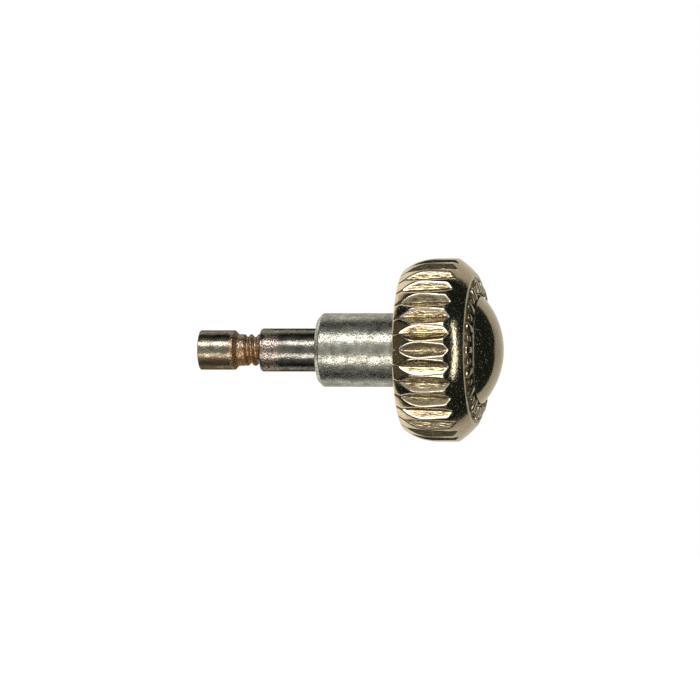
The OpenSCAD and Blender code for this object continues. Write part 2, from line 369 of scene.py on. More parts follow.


# %% [markdown]
# Gilt plating on brass. The cap of the crown is pressed from brass and electroplated with a pale,
# champagne-coloured gold. New plating is a mirror. On an old crown hands and sleeves have worn it
# to a slightly cloudy one, with a faint ripple in what it reflects, fine streaks along the flutes,
# where the tool ran, and edges that are rubbed bright, where a paler and rougher coat is also a
# painted highlight. In the flutes lies a thin film, with streaky brown smears on the middle of their
# walls. Black dirt and painted shade fill their very bottoms and the seam round the dome, and specks
# of dust lie on all of it. The meshes store how deep a point lies in a flute and how much dirt and
# painted shade is on it, and the finish reads both.
#
# It comes in three states: the cap's own, a smoother one that makes a mirror of the dome, and a
# paler and duller one on the ornament, which wear reaches first.

# %% Gilt plating
def gilt_plating(title, bright, cloud, gloss, streaks, ripple, dust):
    """Gold plate. Gloss is its cleanest roughness, streaks and ripple are depths in mm, and dust
    is the level of noise above which a speck lies."""
    finish = Finish(title)
    tree = finish.tree
    finish.ground(bright, cloud, finish.pattern(0.45, 0.35, 0.7), gloss, 0.08,
                  finish.pattern(0.12, 0.35, 0.75))
    finish.lay("#8f8468", 0.95, 0.30, finish.pattern(0.04, 0.54, 0.74))

    # Deep is 0 outside the flutes and 1 in the bottom of one: film, smears and the bright edge
    deep = add(tree, "ShaderNodeAttribute", attribute_name="flute_depth").node.outputs["Fac"]
    low_down = add(tree, RANGE, (deep, 0.30, 1.0, 0.0, 0.85))
    film = finish.both(low_down, finish.pattern(0.05, 0.2, 0.6, stretch=(0.3, 1, 1)))
    finish.lay("#d8cc9f", 1.0, 0.22, film)
    on_wall = add(tree, RANGE, (deep, 0.20, 0.40))
    over_bottom = add(tree, RANGE, (deep, 0.98, 0.80))
    smears = finish.pattern(0.034, 0.47, 0.61, detail=2.0, stretch=(0.14, 1, 1))
    finish.lay("#6e5a3b", 0.8, 0.34, finish.both(on_wall, over_bottom, smears))
    # A paler, rougher coat along each flute's edge: rubbed wear, and a painted highlight too
    past_edge = add(tree, RANGE, (deep, 0.02, 0.08))
    before_wall = add(tree, RANGE, (deep, 0.26, 0.14))
    finish.lay("#f4ead6", 1.0, 0.24, finish.both(past_edge, before_wall))

    # Dirt and painted shade with a ragged edge, where the mesh says that some lies, and dust anywhere
    dirt = add(tree, "ShaderNodeAttribute", attribute_name="dirt").node.outputs["Fac"]
    ragged = add(tree, MATH, (finish.pattern(0.05, 0.3, 0.7), 0.5, dirt), "MULTIPLY_ADD")
    crust = add(tree, RANGE, (ragged, 0.70, 1.05))
    under_dirt_and_shade = add(tree, MATH, (dirt, 0.05), "GREATER_THAN")
    finish.lay("#30281a", 0.0, 0.65, finish.both(crust, under_dirt_and_shade))
    finish.lay("#c9c2b2", 0.0, 0.8, finish.pattern(0.034, dust, dust + 0.04, detail=1.0))

    # The relief: a ripple all over, streaks low in the flutes, and grit, most of it on their walls
    finish.press(finish.pattern(0.2, 0.3, 0.7), ripple)
    worked = finish.both(finish.pattern(0.055, 0.3, 0.7, detail=2.0, stretch=(0.06, 1, 1)), low_down)
    finish.press(worked, streaks)
    gritty = finish.pattern(0.04, 0.35, 0.7, detail=1.0, stretch=(0.25, 1, 1))
    finish.press(finish.both(gritty, on_wall), streaks / 4)
    finish.press(gritty, streaks / 7)
    return finish.done()


gilt = gilt_plating("gilt plating on brass", "#ead6b6", "#dcc49f",
                    gloss=0.08, streaks=0.0060, ripple=0.0014, dust=0.70)
dome_gilt = gilt_plating("polished gilt plating", "#ead6b6", "#dcc49f",
                         gloss=0.05, streaks=0.0010, ripple=0.0008, dust=0.68)
worn_gilt = gilt_plating("worn gilt plating", "#ebdcc0", "#d8c7a4",
                         gloss=0.12, streaks=0.0015, ripple=0.0014, dust=0.74)

# %% [markdown]
# Stainless steel comes in several states on this object. The case tube has a satin skin, gritty as
# fine emery leaves it. The core is grey and dull, as the lathe left it, and the washer a little
# duller, as the press did. The post was polished and has gone dark. The extension is plain carbon
# steel. One recipe makes them all: a cloudy base, a sprinkle of darker grains, and the grit itself
# as relief. The colour at a glancing angle is set apart, because a dark oxide keeps steel dark there
# too.

# %% Steel
def steel(title, bare, stained, glancing, gloss, grain, depth, dullness=0.0):
    """Steel with a grit of a grain and depth in mm. Further coats can follow."""
    finish = Finish(title)
    feed(finish.tree, glancing, finish.shader.inputs["Specular Tint"])
    finish.ground(bare, stained, finish.pattern(0.25, 0.35, 0.7), gloss, 0.10,
                  finish.pattern(0.15, 0.3, 0.7))
    specks = finish.pattern(grain, 0.52, 0.64, detail=1.0)
    finish.lay(stained, 1.0 - dullness, gloss + 0.15, specks)
    finish.press(finish.pattern(grain, 0.3, 0.7, detail=1.0), depth)
    return finish


tube_steel = steel("satin stainless steel", "#e2dfd4", "#96958a", "#e6e4dc",
                   gloss=0.20, grain=0.038, depth=0.0021, dullness=0.65).done()
core_steel = steel("turned stainless steel", "#b4b2aa", "#96948b", "#d8d6ce",
                   gloss=0.25, grain=0.030, depth=0.0020).done()
washer_steel = steel("stamped stainless steel", "#b8b6ae", "#9a988f", "#d8d6ce",
                     gloss=0.30, grain=0.030, depth=0.0020).done()

# %% [markdown]
# Rust. It is a brown oxide and no metal, but seen close a thin rust on steel glitters, because bare
# grains shine through it. So each rusty zone gets two coats, a warm one that is still metallic and
# dull brown grains over it, and a crust of real relief. On the post it is a patchy ring near the
# free end, open at the top, where the steel is pale and matt instead, which is rubbed wear and also a
# painted reflection of the sweep. On the extension it has taken the whole open neck, golden low down
# and silvery where it was rubbed, and a brown stain has crept from there along the barrel's
# underside.

# %% Rusty steel
def rust(finish, share, warm, dull, shine, crust_depth):
    """Rust where share is 1: a warm coat, as metallic as its shine, with dull grains and a relief."""
    grains = finish.pattern(0.05, 0.50, 0.60)
    finish.lay(warm, shine, 0.22, share)
    finish.lay(dull, 0.15, 0.62, finish.both(share, grains))
    finish.press(finish.both(share, finish.pattern(0.05, 0.3, 0.65, detail=2.0)), crust_depth)


free_end = reach("crown_post")[0]

on_post = steel("polished stainless steel with a rust ring", "#bcb7ad", "#77736c", "#595955",
                gloss=0.10, grain=0.038, depth=0.0018)
past_the_edge = on_post.zone("X", free_end + 0.02, free_end + 0.16)
near_the_end = on_post.zone("X", free_end + 0.64, free_end + 0.38)
patches = on_post.both(on_post.pattern(0.09, 0.38, 0.46), on_post.zone("Z", 0.50, 0.36))
rusty = on_post.both(past_the_edge, near_the_end, patches)
rust(on_post, rusty, "#d2beae", "#3d2b1f", shine=1.0, crust_depth=0.004)
# A pale matt patch on top of the free end: rubbed wear, and a painted reflection of the sweep
at_the_end = on_post.zone("X", free_end + 0.46, free_end + 0.28)
rubbed = on_post.both(at_the_end, on_post.pattern(0.07, 0.36, 0.50), on_post.zone("Z", 0.36, 0.50))
on_post.lay("#bdb6a6", 1.0, 0.42, rubbed)
post_steel = on_post.done()

# %% The rusty extension
BARREL_END = -4.69      # where the barrel meets the neck, along X

on_rod = steel("rusted carbon steel", "#d2c9b8", "#786f5c", "#6a6456",
               gloss=0.11, grain=0.038, depth=0.0020)
along_barrel = on_rod.zone("X", BARREL_END - 0.01, BARREL_END - 0.41)
stains = on_rod.pattern(0.12, 0.3, 0.5, stretch=(0.4, 1, 1))
stained = on_rod.both(along_barrel, on_rod.zone("Z", 0.02, -0.25), stains)
on_rod.lay("#8a745a", 0.8, 0.30, stained)
past_the_barrel = on_rod.zone("X", BARREL_END - 0.24, BARREL_END - 0.11)
neck = on_rod.both(past_the_barrel, on_rod.zone("X", free_end + 0.64, free_end + 0.44))
rusty = on_rod.both(neck, on_rod.pattern(0.09, 0.30, 0.42))
rust(on_rod, rusty, "#c69f74", "#7a5a3e", shine=0.85, crust_depth=0.006)
rubbed = on_rod.both(neck, on_rod.zone("Z", -0.15, 0.35), on_rod.pattern(0.04, 0.48, 0.56))
on_rod.lay("#cfc9ba", 1.0, 0.25, rubbed)
extension_steel = on_rod.done()

# %% [markdown]
# The ring that seals the crown is nitrile rubber, nearly black, moulded and slightly oily. Rubber is
# no metal: it has a soft sheen at a grazing angle and hardly any colour.

# %% Nitrile rubber
rubber_finish = Finish("moulded nitrile rubber")
rubber_finish.lay("#1b1b1c", 0.0, 0.45)
rubber_dust = rubber_finish.pattern(0.08, 0.4, 0.7)
rubber_finish.lay("#2a2927", 0.0, 0.6, rubber_dust)
rubber_finish.press(rubber_dust, 0.002)
rubber = rubber_finish.done()

# %% [markdown]
# The cap is the piece that everyone knows as the crown: a cup of thin gilt brass over the core. Its
# outside runs from the back edge over a rounded shoulder to the fluted rim, over a rounding to a
# smooth bevel, and ends in a ring that slopes up to the dome. Along the ring a shallow field is let
# in between a narrow border and the dome, for the ornament.

# %% The cap's profile
cap_start, _, cap_r = reach("crown_cap")
core_start, core_end, core_r = reach("crown_core")
_, dome_end, flange_r = reach("dome_inlay")

SHOULDER_LEN = 0.92     # rounded back shoulder, along the axis
RIM_LEN = 0.56          # fluted rim, up to the corner of the bevel
RIM_ROUND = 0.16        # rounding of that corner
BEVEL_LEN = 0.49        # bevel, along the axis
BEVEL_DROP = 0.43       # bevel, towards the axis
BEVEL_CROWN = 0.028     # how far the polished bevel swells in its middle
BACK_LIP = 0.18         # wall of the cap at its back face
BACK_ROUND = 0.10       # rounding of the back edge
RING_RISE = 0.13        # ring, from its outer edge to the dome
DOME_FOOT = 1.49        # radius of the dome where it stands in the ring
SEAM = 0.01             # gap round the dome
SEAM_BEVEL = 0.03       # fine bevel on the edge of the hole
FIELD_DEPTH = 0.035     # depth of the ring's field below its border
FIELD_BORDER = 0.10     # width of the ring's outer border
FLANGE_T = 0.10         # flange that holds the dome from behind
SHOULDER_STEPS = 40     # steps of the shoulder's arc
BACK_STEPS = 5          # first of them, whose place the rounding of the back edge takes
CAP_GAP = 0.07          # widest gap between two rows of points

back_r = core_r + BACK_LIP
rim_corner = cap_start + SHOULDER_LEN + RIM_LEN
ring_x = rim_corner + BEVEL_LEN
ring_r = cap_r - BEVEL_DROP
hole_r = DOME_FOOT + SEAM
seat_x = core_end + FLANGE_T + SEAM
ring_slope = RING_RISE / (ring_r - hole_r)

shoulder_drop = cap_r - back_r
shoulder_r = (shoulder_drop**2 + SHOULDER_LEN**2) / (2 * shoulder_drop)
shoulder_x = cap_start + SHOULDER_LEN
shoulder_start = 180 - math.degrees(math.asin((back_r - cap_r + shoulder_r) / shoulder_r))

# The bevel is an arc through the rim's corner and the ring's edge, and a small fillet joins it to
# the rim
bevel_chord = math.hypot(BEVEL_LEN, BEVEL_DROP)
bevel_r = (bevel_chord**2 / 4 + BEVEL_CROWN**2) / (2 * BEVEL_CROWN)
bevel_inset = (bevel_r - BEVEL_CROWN) / bevel_chord
bevel_x = (rim_corner + ring_x) / 2 - BEVEL_DROP * bevel_inset
bevel_y = (cap_r + ring_r) / 2 - BEVEL_LEN * bevel_inset
bevel_end = math.degrees(math.atan2(ring_r - bevel_y, ring_x - bevel_x))
fillet_r = cap_r - RIM_ROUND
fillet_x = bevel_x + math.sqrt((bevel_r - RIM_ROUND) ** 2 - (fillet_r - bevel_y) ** 2)
bevel_start = math.degrees(math.atan2(fillet_r - bevel_y, fillet_x - bevel_x))


def on_ring(radius, depth=0.0):
    """Place along X of the ring's surface at a radius, or of a level below it."""
    return ring_x + (ring_r - radius) * ring_slope - depth


field_out = ring_r - FIELD_BORDER
field_in = hole_r + SEAM_BEVEL
outside = rounded([
    (cap_start, core_r, 0.0),
    (cap_start, back_r, BACK_ROUND),
    *arc(shoulder_x, cap_r - shoulder_r, shoulder_r, shoulder_start, 90, SHOULDER_STEPS)[BACK_STEPS:],
    *arc(fillet_x, fillet_r, RIM_ROUND, 90, bevel_start, steps=8),
    *arc(bevel_x, bevel_y, bevel_r, bevel_start, bevel_end, steps=14)[1:-1],
    (ring_x, ring_r, SOFT),
    (on_ring(field_out), field_out, FINE),
    (on_ring(field_out, FIELD_DEPTH), field_out - FIELD_DEPTH, FINE),
    (on_ring(field_in, FIELD_DEPTH), field_in, FINE),
    (on_ring(hole_r, FIELD_DEPTH + SEAM_BEVEL), hole_r, 0.0),
], closed=False)
inside = [Vector(corner) for corner in (
    (seat_x, hole_r),
    (seat_x, flange_r + SEAM),
    (core_end, flange_r + SEAM),
    (core_end, core_r),
)]
cap_points = spaced(outside, CAP_GAP) + inside
print(f"cap profile: {len(cap_points)} points, shoulder arc of {shoulder_r:.3f} mm")

# %% [markdown]
# Dirt gathers where nothing wipes it away, and shade falls there too, so the dark crust there is
# dirt and painted shade in one: on the floor of the ring's field and in the seam round the dome. A
# rule says how much lies at each place along X and each radius, and an attribute keeps it.

# %% Dirt and painted shade on a turned piece
FIELD_DIRT_AND_SHADE = 0.54       # on the floor of the ring's field
STEP_DIRT_AND_SHADE = 0.55        # along the step at its outer edge
DIRT_AND_SHADE_CREEP = 0.02       # how far dirt and painted shade reach past that edge


def soil(piece, rule):
    """Stores from 0 to 1 the dirt and painted shade on each point, by a rule on x and radius in mm."""
    dirt = piece.data.attributes.new("dirt", "FLOAT", "POINT")
    for spot, vertex in zip(dirt.data, piece.data.vertices):
        spot.value = rule(vertex.co.x / MM, math.hypot(vertex.co.y, vertex.co.z) / MM)


def ring_dirt_and_shade(x, r):
    """Dirt and painted shade on the cap: full in the seam round the dome, about half over the ring's
    field.
    """
    if x < seat_x or r > field_out + DIRT_AND_SHADE_CREEP:
        return 0.0
    if r > field_out - 2 * FIELD_DEPTH:
        return STEP_DIRT_AND_SHADE
    return 1.0 if r < hole_r + SEAM / 2 else FIELD_DIRT_AND_SHADE


# %% [markdown]
# The tools that cut the flutes and the thread ask the same of each point: how far along the axis and
# away from it the point lies, at what angle round it, and how far from the nearest of some marks
# that repeat. Both end by drawing the point in towards the axis. These sums are written once.

# %% Sums that the cutting tools share


def turned_place(tree):
    """X of each point, its radius, and its angle about X from +Y towards +Z."""
    x, y, z = add(tree, "ShaderNodeSeparateXYZ", (add(tree, "GeometryNodeInputPosition"),)).node.outputs
    radius = add(tree, VECTOR_MATH, (add(tree, "ShaderNodeCombineXYZ", (0.0, y, z)),), "LENGTH")
    return x, radius, add(tree, MATH, (z, y), "ARCTAN2")


def off_whole(tree, value):
    """How far a value lies from the nearest whole number, without a sign."""
    nearest = add(tree, MATH, (value,), "ROUND")
    signed = add(tree, MATH, (value, nearest), "SUBTRACT")
    return add(tree, MATH, (signed,), "ABSOLUTE")


def fade(tree, distance, length):
    """1 at no distance, and less by a factor of e for every length away."""
    lengths = add(tree, MATH, (distance, length), "DIVIDE")
    down = add(tree, MATH, (lengths, -1.0), "MULTIPLY")
    return add(tree, MATH, (down,), "EXPONENT")


def draw_in(tree, geometry, radius, kept_r):
    """Moves each point of a geometry straight towards X, from its radius to the one it keeps."""
    shrink = add(tree, MATH, (kept_r, radius), "DIVIDE")
    squeeze = add(tree, "ShaderNodeCombineXYZ", (1.0, shrink, shrink))
    place = add(tree, VECTOR_MATH, (add(tree, "GeometryNodeInputPosition"), squeeze), "MULTIPLY")
    return add(tree, "GeometryNodeSetPosition", {"Geometry": geometry, "Position": place})


# %% [markdown]
# The flutes are what makes a crown. On the real one a cutter or a knurling wheel runs straight along
# the rim, 33 times round, and because it runs straight each flute comes out of the rounded shoulder
# and of the bevel in a pointed tip. The same rule in Geometry Nodes: a V-shaped cutter leaves metal
# only below its two faces, so each point of the blank is drawn in to whichever is nearer the axis,
# the blank or the cutter. A smooth minimum in place of a plain one rolls the edges over, the way the
# plating and years of use do. The cutter leans a little, so that it bites deeper at the back.
#
# Behind each tip a hairline runs on to the back edge. A first step presses it in along the normals.

# %% The flute tool
FLUTE_COUNT = 33
POINTS_A_FLUTE = 26     # points of the blank across each flute

flute_sizes = {
    "Count": float(FLUTE_COUNT),
    "First angle": math.pi,             # the side at -Y, in the angle from +Y towards +Z
    "Rim radius": cap_r * MM,
    "Middle": (shoulder_x + RIM_LEN / 2) * MM,
    "Width": 0.42 * MM,                 # half-way along the rim
    "Depth": 0.137 * MM,                # in the same place
    "Lean": math.tan(math.radians(4.0)),
    "Edge rounding": 0.038 * MM,        # how far the smooth minimum reaches
    "Valley rounding": 0.012 * MM,
    "Hairline width": 0.018 * MM,       # reach to each side
    "Hairline depth": 0.028 * MM,
    "Hairline start": (cap_start + 0.005) * MM,
    "Hairline grows": 0.02 * MM,        # length over which it gets its depth
    "Hairline end": shoulder_x * MM,
    "Hairline fades": 0.30 * MM,        # length over which it loses it again
    "Hairline dirt": 0.9,
    "Dirt reach": 0.016 * MM,           # to each side of a flute's bottom
    "Least cut": 0.08,                  # share of the depth below which neither dirt nor painted shade stays
    "Finish": gilt,
}
flute_tool, given = new_tool("flute tool", flute_sizes)
x, radius, angle = turned_place(flute_tool)

# The angle from the middle of the nearest flute, without a sign, and the same as a length
past_first = add(flute_tool, MATH, (angle, given["First angle"]), "SUBTRACT")
step_angle = add(flute_tool, MATH, (WHOLE_TURN, given["Count"]), "DIVIDE")
flutes_past = add(flute_tool, MATH, (past_first, step_angle), "DIVIDE")
off = add(flute_tool, MATH, (off_whole(flute_tool, flutes_past), step_angle), "MULTIPLY")
aside = add(flute_tool, MATH, (off, radius), "MULTIPLY")

# %% The hairline behind each tip
# It fades to both sides of its middle, and between its start and its end along X
across = fade(flute_tool, aside, given["Hairline width"])
full_from = add(flute_tool, MATH, (given["Hairline start"], given["Hairline grows"]), "ADD")
full_to = add(flute_tool, MATH, (given["Hairline end"], given["Hairline fades"]), "SUBTRACT")
growing = add(flute_tool, RANGE, (x, given["Hairline start"], full_from))
running_out = add(flute_tool, RANGE, (x, given["Hairline end"], full_to), **SMOOTH)
grown = add(flute_tool, MATH, (across, growing), "MULTIPLY")
hairline = add(flute_tool, MATH, (grown, running_out), "MULTIPLY")
press = add(flute_tool, MATH, (hairline, given["Hairline depth"]), "MULTIPLY")
inward = add(flute_tool, MATH, (press, -1.0), "MULTIPLY")
push = add(flute_tool, VECTOR_MATH, {
    "Vector": add(flute_tool, "GeometryNodeInputNormal"), "Scale": inward}, "SCALE")
pressed = add(flute_tool, "GeometryNodeSetPosition", {"Geometry": given["Geometry"], "Offset": push})
print("place and hairline:", len(flute_tool.nodes), "nodes")

# %% The cutter's two faces
# Each face is the radius at which a ray at this angle meets it, over a floor that rises along X
half_width = add(flute_tool, MATH, (given["Width"], 0.5), "MULTIPLY")
slope = add(flute_tool, MATH, (given["Depth"], half_width), "DIVIDE")
middle_r = add(flute_tool, MATH, (given["Rim radius"], given["Depth"]), "SUBTRACT")
past_middle = add(flute_tool, MATH, (x, given["Middle"]), "SUBTRACT")
floor_r = add(flute_tool, MATH, (past_middle, given["Lean"], middle_r), "MULTIPLY_ADD")
valley_angle = add(flute_tool, MATH, (given["Valley rounding"], floor_r), "DIVIDE")
valley_square = add(flute_tool, MATH, (valley_angle, valley_angle), "MULTIPLY")
square = add(flute_tool, MATH, (off, off, valley_square), "MULTIPLY_ADD")
soft_off = add(flute_tool, MATH, (square,), "SQRT")
rise = add(flute_tool, MATH, (soft_off,), "SINE")
lean_in = add(flute_tool, MATH, (slope, rise), "MULTIPLY")
straight = add(flute_tool, MATH, (off,), "COSINE")
below = add(flute_tool, MATH, (straight, lean_in), "SUBTRACT")
cutter_r = add(flute_tool, MATH, (floor_r, below), "DIVIDE")
kept_r = add(flute_tool, MATH, (radius, cutter_r, given["Edge rounding"]), "SMOOTH_MIN")
print("with the cutter:", len(flute_tool.nodes), "nodes")

# %% What the finish needs to know, and the cut itself
cut_away = add(flute_tool, MATH, (radius, kept_r), "SUBTRACT")
cut_share = add(flute_tool, MATH, (cut_away, given["Depth"]), "DIVIDE")
in_flute = add(flute_tool, MATH, (cut_share, given["Least cut"]), "GREATER_THAN")
# A dark crust of dirt and painted shade along each flute's bottom and each hairline
near_bottom = fade(flute_tool, aside, given["Dirt reach"])
valley_dirt_and_shade = add(flute_tool, MATH, (near_bottom, in_flute), "MULTIPLY")
line_dirt_and_shade = add(flute_tool, MATH, (hairline, given["Hairline dirt"]), "MULTIPLY")
flute_dirt_and_shade = add(flute_tool, MATH, (valley_dirt_and_shade, line_dirt_and_shade), "MAXIMUM")
earlier_dirt_and_shade = add(flute_tool, "GeometryNodeInputNamedAttribute", {"Name": "dirt"})
all_dirt_and_shade = add(flute_tool, MATH, (flute_dirt_and_shade, earlier_dirt_and_shade), "MAXIMUM")
marked = pressed
for label, value in (("flute_depth", cut_share), ("dirt", all_dirt_and_shade)):
    stored = {"Geometry": marked, "Name": label, "Value": value}
    marked = add(flute_tool, "GeometryNodeStoreNamedAttribute", stored)
close_tool(flute_tool, draw_in(flute_tool, marked, radius, kept_r), given["Finish"])

# %% Cut the flutes
fluted_cap = lathe("fluted_cap", cap_points, FLUTE_COUNT * POINTS_A_FLUTE, closed=True)
soil(fluted_cap, ring_dirt_and_shade)
bake(fluted_cap, flute_tool, flute_sizes)

# %% [markdown]
# The ring's field carries raised ornament. Here it is a plain border like the marks on a dial: long
# and short radial bars by turns. One bar is modelled once, with a few dozen faces, and Geometry Nodes
# set it round the ring at full size, and between those at a smaller one.

# %% One bar of the ornament
BAR = (0.22, 0.38, 0.19)    # height, length along the radius and width
BAR_ROUND = 0.05            # rounding of its edges
FOOT_DIRT_AND_SHADE = 0.66            # dirt and painted shade round its foot
TOP_DIRT = 0.12             # dirt on top of it
FOOT_HEIGHT = 0.02          # height of the foot above the ring


def cushion_block(name, size, rounding):
    """Small block with rounded edges, its length along +Y, centred on the origin."""
    work = bmesh.new()
    bmesh.ops.create_cube(work, size=1.0)
    bmesh.ops.scale(work, vec=[s * MM for s in size], verts=work.verts)
    bmesh.ops.bevel(work, geom=work.edges[:], offset=rounding * MM, segments=2, profile=0.5,
                    affect="EDGES", clamp_overlap=True)
    mesh = bpy.data.meshes.new(name)
    work.to_mesh(mesh)
    work.free()
    print(f"{name}: {len(mesh.polygons)} faces")
    return bpy.data.objects.new(name, mesh)


bar = cushion_block("ornament_bar", BAR, BAR_ROUND)

# %% The ornament tool
ornament_r = (field_out - FIELD_DEPTH + field_in) / 2
ornament_sizes = {
    "Count": 18,                        # long bars, and as many short ones
    "Ring radius": ornament_r * MM,
    "Ring place": on_ring(ornament_r, FIELD_DEPTH) * MM,
    "Lean": math.atan(ring_slope) + math.radians(5.0),      # a little steeper than the ring
    "Bar": bar,
    "Short bar": (0.9, 0.55, 0.9),      # its sizes, as shares of a long one's
    "Finish": worn_gilt,
}
ornament_tool, given = new_tool("ornament tool", ornament_sizes)


def set_round(tree, given, shape, scale, phase):
    """Instances of a shape round X on the ring, turned so that its +Y points away from the axis."""
    count = given["Count"]
    index = add(tree, "GeometryNodeInputIndex")
    shifted = add(tree, MATH, (index, phase), "ADD")
    step = add(tree, MATH, (WHOLE_TURN, count), "DIVIDE")
    turn = add(tree, MATH, (shifted, step), "MULTIPLY")
    on_y = add(tree, "ShaderNodeCombineXYZ", {"X": given["Ring place"], "Y": given["Ring radius"]})
    place = add(tree, "ShaderNodeVectorRotate", {"Vector": on_y, "Angle": turn}, rotation_type="X_AXIS")
    dots = add(tree, "GeometryNodePoints", {"Count": count, "Position": place})
    # A tilt about Z lays the shape on the ring's slope, and then a turn about X takes it round
    about_z = add(tree, "ShaderNodeCombineXYZ", {"Z": given["Lean"]})
    about_x = add(tree, "ShaderNodeCombineXYZ", {"X": turn})
    tilt = add(tree, "FunctionNodeEulerToRotation", (about_z,))
    spin = add(tree, "FunctionNodeEulerToRotation", (about_x,))
    facing = add(tree, "FunctionNodeRotateRotation", {"Rotation": tilt, "Rotate By": spin})
    laid = {"Points": dots, "Instance": shape, "Rotation": facing, "Scale": scale}
    return add(tree, "GeometryNodeInstanceOnPoints", laid)


bar_info = add(ornament_tool, "GeometryNodeObjectInfo", {"Object": given["Bar"]})
bar_shape = bar_info.node.outputs["Geometry"]
both_kinds = ornament_tool.nodes.new("GeometryNodeJoinGeometry")
for scale, phase in (((1.0, 1.0, 1.0), 0.0), (given["Short bar"], 0.5)):
    bars = set_round(ornament_tool, given, bar_shape, scale, phase)
    ornament_tool.links.new(bars, both_kinds.inputs[0])
close_tool(ornament_tool, both_kinds.outputs[0], given["Finish"])

# %% Set the ornament on the ring
ring_ornament = put_in_scene("ring_ornament", bpy.data.meshes.new("ring_ornament"))
bake(ring_ornament, ornament_tool, ornament_sizes)
bpy.data.objects.remove(bar)
# Dirt and painted shade in the crevices round the foot of each bar
soil(ring_ornament, lambda x, r: FOOT_DIRT_AND_SHADE if x < on_ring(r) + FOOT_HEIGHT else TOP_DIRT)

# %% [markdown]
# The dome in the middle is a separate pressing with a flange behind the ring. Polished metal on a
# sphere shows the whole studio: a dark middle, where it reflects the room behind the camera, and a
# pale band along the far edge, where it reflects the white sweep. A fine mesh and a true arc are all
# that it takes to draw that band without a kink.

# %% The dome
DOME_R = 2.20           # radius of the domed surface
DOME_WALL = 0.30        # thickness of its metal
DOME_EDGE = 0.045       # rounding of the dome's edge
DOME_CLEAR = 1.5        # degrees short of that edge at which the arc ends, to leave the rounding room
DOME_SEGMENTS = 384     # points round the dome

dome_centre = dome_end - DOME_R
edge_angle = math.degrees(math.asin(DOME_FOOT / DOME_R))
dome_edge_x = dome_centre + DOME_R * math.cos(math.radians(edge_angle))
hollow_r = DOME_FOOT - DOME_WALL
inner_r = DOME_R - DOME_WALL
hollow_angle = math.degrees(math.asin(hollow_r / inner_r))
dome_points = rounded([
    *arc(dome_centre, 0, DOME_R, 0, edge_angle - DOME_CLEAR, steps=60),
    (dome_edge_x, DOME_FOOT, DOME_EDGE),
    (core_end + FLANGE_T, DOME_FOOT, 0.0),
    (core_end + FLANGE_T, flange_r, FINE),
    (core_end, flange_r, FINE),
    (core_end, hollow_r, 0.0),
    *arc(dome_centre, 0, inner_r, hollow_angle, 0, steps=16),
], closed=False)
dome = lathe("dome", dome_points, DOME_SEGMENTS, closed=False, finish=dome_gilt)
# Dirt and painted shade on all of the dome behind its edge, over its foot in the seam
soil(dome, lambda x, r: 1.0 if x < dome_edge_x - SEAM else 0.0)

# %% [markdown]
# Inside the cap sit three plain pieces. Two of them show from behind, round the tube: the steel core
# and the washer that keeps the seal in. The seal, a rubber ring, is hidden by the washer.

# %% Core, washer and rubber ring
post_start, post_end, head_r = reach("crown_post")
washer_start, washer_end, washer_r = reach("gasket_washer")
seal_start, seal_end, seal_out_r = reach("crown_gasket")
tube_start, tube_end, seat_r = reach("case_tube")

POST_R = 0.60           # outside of the post
TUBE_ROOM_R = 0.92      # recess for the end of the tube
RECESS_END = 1.63       # bottom of that recess, along X
SEAL_ROOM_END = 0.69    # bottom of the wider room for the rubber ring, along X
CORE_EDGE = 0.06        # chamfer on the core
INNER_SEGMENTS = 192    # points round an inner piece

core = lathe("core_disc", rounded([
    (core_start, washer_r, 0.008),
    (core_start, core_r - CORE_EDGE, FINE),
    (core_start + CORE_EDGE, core_r, FINE),
    (core_end - CORE_EDGE, core_r, FINE),
    (core_end, core_r - CORE_EDGE, FINE),
    (core_end, POST_R, 0.0),
    (RECESS_END, POST_R, FINE),
    (RECESS_END, TUBE_ROOM_R, SOFT),
    (SEAL_ROOM_END, TUBE_ROOM_R, FINE),
    (SEAL_ROOM_END, washer_r, SOFT),
], closed=True), INNER_SEGMENTS, closed=True, finish=core_steel)

washer = lathe("retaining_washer", rounded([
    (washer_start, TUBE_ROOM_R, SOFT),
    (washer_start, washer_r, 0.012),
    (washer_end, washer_r, 0.012),
    (washer_end, TUBE_ROOM_R, SOFT),
], closed=True), INNER_SEGMENTS, closed=True, finish=washer_steel)

seal_thick = (seal_end - seal_start) / 2        # radius of its round section
seal_middle = (seal_start + seal_end) / 2
seal_corners = arc(seal_middle, seal_out_r - seal_thick, seal_thick, 0, 360, steps=48)[:-1]
seal_points = rounded(seal_corners, closed=True)
seal = lathe("rubber_ring", seal_points, INNER_SEGMENTS, closed=True, finish=rubber)

# %% [markdown]
# The case tube is pressed into the side of the watch case and the crown slides on its outer end. It
# is a plain turned sleeve: what it shows is the chamfer on its inner end and a satin skin.

# %% The case tube
SEAT_CHAMFER = 0.13     # on the tube's inner end
SLIDE_R = 0.86          # outer end, which the rubber ring slides on
BORE_R = 0.66
TUBE_EDGE = 0.05        # small chamfers on the ends
TUBE_SEGMENTS = 256     # points round the tube and the post

tube = lathe("case_sleeve", rounded([
    (tube_start, BORE_R + TUBE_EDGE, FINE),
    (tube_start, seat_r - SEAT_CHAMFER, 0.04),
    (tube_start + SEAT_CHAMFER, seat_r, 0.05),
    (0.0, seat_r, 0.015),
    (0.0, SLIDE_R, SOFT),
    (tube_end - TUBE_EDGE, SLIDE_R, SOFT),
    (tube_end, SLIDE_R - TUBE_EDGE, FINE),
    (tube_end, BORE_R + TUBE_EDGE, FINE),
    (tube_end - TUBE_EDGE, BORE_R, SOFT),
    (tube_start + TUBE_EDGE, BORE_R, SOFT),
], closed=True), TUBE_SEGMENTS, closed=True, finish=tube_steel)

# %% [markdown]
# The post is hollow and threaded inside for the extension. Its head lies over the core, under the
# dome.

